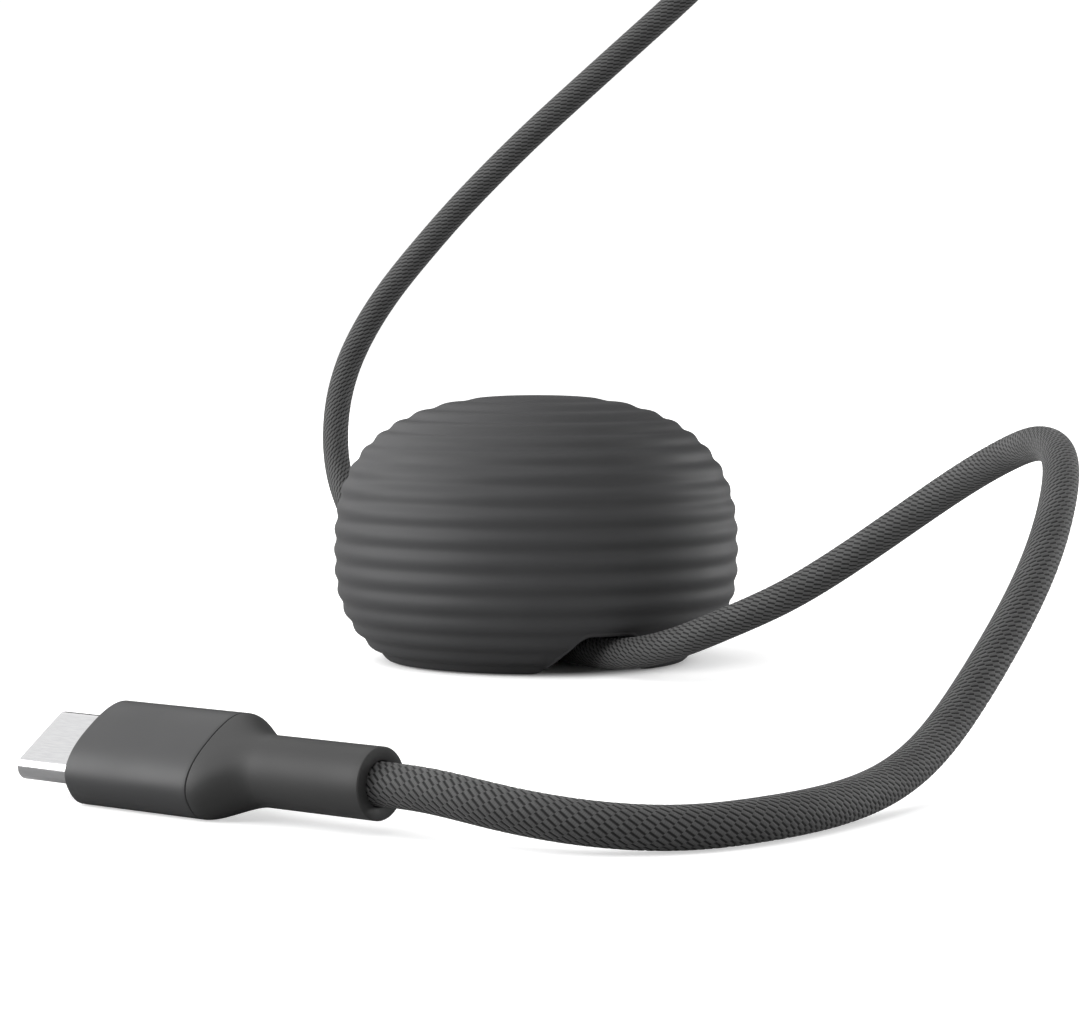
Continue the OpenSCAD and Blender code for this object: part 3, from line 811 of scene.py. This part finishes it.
# From the cord's bore round the tail, along the tube, out in an easy wave from round to the grip's
# oval, round the seam edge, and back through the ferrule's hole
def makeRelief(kind, lying, material):
    cols = 128
    tube = plug["reliefDiameter"] / 2
    halfW = plug["gripWidth"] / 2
    halfT = plug["gripThick"] / 2
    bore = cord["diameter"] / 2 + plug["cordFit"]
    sleeveBore = bore + plug["ferruleWall"] + plug["fit"]
    back = plug["reliefLength"]
    rings = []
    for x, r in ((0.5, bore), (0.12, bore + 0.02), (0.0, bore + 0.12)):
        rings.append((x, r, r, 2))
    edge = plug["tailEdge"]
    for rise, go in zip(*quarter(7)):
        rings.append((edge * go, tube - edge * (1 - rise), tube - edge * (1 - rise), 2))
    swellFrom = back - plug["swellLength"]
    for x in np.linspace(0.8, swellFrom - 0.3, 20):
        rings.append((x, tube, tube, 2))
    full = plug["gripFullness"]
    swellRun = plug["swellLength"] - 0.16
    for f in np.linspace(0, 1, 40):
        x = swellFrom + swellRun * f
        w = float(swell(f))
        rings.append((x, lerp(tube, halfW, w), lerp(tube, halfT, w), lerp(2, full, w)))
    for rise, go in zip(*quarter(5)):
        inset = plug["seam"] * go
        x = back - plug["seam"] * (1 - rise) - plug["seamGap"]
        rings.append((x, halfW - inset, halfT - inset, full))
    holeEnd = back - plug["ferruleHole"]
    seamX = back - plug["seamGap"]
    for x, r in ((seamX, sleeveBore), (holeEnd, sleeveBore), (holeEnd - 0.1, bore)):
        rings.append((x, r, r, 2))
    points = ovalRings(rings, cols)
    skin = placed(points, lying)
    piece = gridPiece(kind + "Relief", skin, material, points[..., 0], joinRows=True)
    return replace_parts(piece, kind + "_strain_relief")


# A drawn shell: out along the outside, round the front edge in half a turn, and back along the
# inside
def makeNose(kind, lying, material):
    cols = 160
    halfW = plug["noseWidth"] / 2
    halfT = plug["noseThick"] / 2
    wall = plug["noseWall"]
    lip = wall / 2
    root = faceX - plug["noseRoot"]
    straightEnd = tipX - 0.2  # just behind the rounded edge
    rings = []
    for x in np.linspace(root, straightEnd, 12):
        rings.append((x, halfW, halfT))
    for f in np.linspace(0.08, 0.92, 9):
        bend = math.pi * f
        inset = lip * (1 - math.cos(bend))
        rings.append((tipX - lip + lip * math.sin(bend), halfW - inset, halfT - inset))
    for x in np.linspace(straightEnd, root, 6):
        rings.append((x, halfW - wall, halfT - wall))
    points = stadiumRings(rings, cols)
    skin = placed(points, lying)
    piece = gridPiece(kind + "Nose", skin, material, points[..., 0], joinRows=True)
    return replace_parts(piece, kind + "_nose")


gripLook = {
    "grey": 0.032,
    "vary": 0.04,
    "tint": cool,
    "patch": 0.010,
    "grain": 0.00010,
    "rough": 0.52,
    "shine": 0.42,
    "depth": 0.000003,
}
reliefLook = {
    "grey": 0.027,
    "vary": 0.04,
    "tint": neutral,
    "patch": 0.008,
    "grain": 0.00012,
    "rough": 0.58,
    "shine": 0.40,
    "depth": 0.000005,
}
noseLook = {
    "line": 0.08,
    "where": "UV",
    "stretch": (9, 0.05, 1),
    "dark": (0.39, 0.39, 0.395, 1),
    "light": (0.42, 0.42, 0.425, 1),
    "rough": 0.12,
    "lineRough": 0.02,
    "depth": 0.0000002,
}
gripMaterial = moulded("gripPlastic", gripLook)
reliefMaterial = moulded("reliefRubber", reliefLook)
noseMaterial = metal("noseSteel", noseLook)
for kind, lying in plugs.items():
    makeGrip(kind, lying, gripMaterial)
    makeRelief(kind, lying, reliefMaterial)
    makeNose(kind, lying, noseMaterial)

# Finishes of the pieces that come from the frame

warm = (1.0, 0.96, 0.9)
green = (0.25, 1.3, 0.4)
pieceLooks = {
    "weight": metal("castIron", {
        "line": 0.0006, "stretch": (1, 1, 1), "dark": (0.16, 0.16, 0.17, 1),
        "light": (0.24, 0.24, 0.25, 1), "rough": 0.45, "lineRough": 0.2, "depth": 0.00006,
    }),
    "tray": moulded("trayPlastic", {
        "grey": 0.012, "vary": 0.1, "tint": neutral, "patch": 0.006, "grain": 0.00015,
        "rough": 0.5, "shine": 0.4, "depth": 0.000006,
    }),
    "liner": moulded("linerRubber", {
        "grey": 0.010, "vary": 0.1, "tint": neutral, "patch": 0.004, "grain": 0.0002,
        "rough": 0.62, "shine": 0.35, "depth": 0.00001,
    }),
    "pads": moulded("padRubber", {
        "grey": 0.045, "vary": 0.08, "tint": neutral, "patch": 0.004, "grain": 0.00025,
        "rough": 0.75, "shine": 0.3, "depth": 0.00003,
    }),
    "steel": metal("screwSteel", {
        "line": 0.0004, "stretch": (1, 1, 6), "dark": (0.5, 0.5, 0.51, 1),
        "light": (0.68, 0.68, 0.69, 1), "rough": 0.26, "lineRough": 0.1, "depth": 0.000004,
    }),
    "carrier": moulded("carrierPlastic", {
        "grey": 0.014, "vary": 0.1, "tint": neutral, "patch": 0.001, "grain": 0.00006,
        "rough": 0.42, "shine": 0.45, "depth": 0.000002,
    }),
    "contacts": metal("contactGold", {
        "line": 0.0002, "stretch": (1, 1, 1), "dark": (0.72, 0.48, 0.16, 1),
        "light": (0.93, 0.68, 0.28, 1), "rough": 0.2, "lineRough": 0.08, "depth": 0.000001,
    }),
    "board": moulded("boardGreen", {
        "grey": 0.06, "vary": 0.2, "tint": green, "patch": 0.0012, "grain": 0.00008,
        "rough": 0.35, "shine": 0.5, "depth": 0.000003,
    }),
    "chips": moulded("chipBlack", {
        "grey": 0.015, "vary": 0.15, "tint": neutral, "patch": 0.0008, "grain": 0.00005,
        "rough": 0.55, "shine": 0.4, "depth": 0.000003,
    }),
    "shield": metal("shieldTin", {
        "line": 0.0003, "stretch": (1, 5, 1), "dark": (0.55, 0.55, 0.56, 1),
        "light": (0.75, 0.75, 0.76, 1), "rough": 0.3, "lineRough": 0.1, "depth": 0.000003,
    }),
    "inner": moulded("innerMould", {
        "grey": 0.5, "vary": 0.06, "tint": neutral, "patch": 0.003, "grain": 0.0001,
        "rough": 0.5, "shine": 0.4, "depth": 0.000004,
    }),
    "ferrule": metal("ferruleTin", {
        "line": 0.0003, "stretch": (1, 1, 1), "dark": (0.5, 0.5, 0.5, 1),
        "light": (0.7, 0.7, 0.7, 1), "rough": 0.3, "lineRough": 0.1, "depth": 0.000004,
    }),
    "wires": moulded("wireSleeve", {
        "grey": 0.6, "vary": 0.08, "tint": warm, "patch": 0.002, "grain": 0.0001,
        "rough": 0.4, "shine": 0.45, "depth": 0.000003,
    }),
}
nodeLooks = {
    "weight_core": "weight",
    "base_tray": "tray",
    "passage_liner": "liner",
    "foot_pads": "pads",
    "base_screws": "steel",
}
plugLooks = {
    "contact_carrier": "carrier",
    "upper_contacts": "contacts",
    "lower_contacts": "contacts",
    "latch_spring": "steel",
    "ground_springs": "steel",
    "board": "board",
    "board_parts": "chips",
    "shield_can": "shield",
    "inner_mould": "inner",
    "crimp_ferrule": "ferrule",
    "core_wires": "wires",
}
for kind in plugs:
    for node, look in plugLooks.items():
        nodeLooks[kind + "_" + node] = look
for node, look in nodeLooks.items():
    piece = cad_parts[node]
    piece.data.materials.clear()
    piece.data.materials.append(pieceLooks[look])
print("finishes:", len(nodeLooks), "pieces from the frame")

# Cord lengths


def lengthOf(line):
    return float(np.sum(np.linalg.norm(np.diff(line, axis=0), axis=1))) * mm


print("cord lengths:", round(lengthOf(frontLine), 4), round(lengthOf(rearLine), 4))
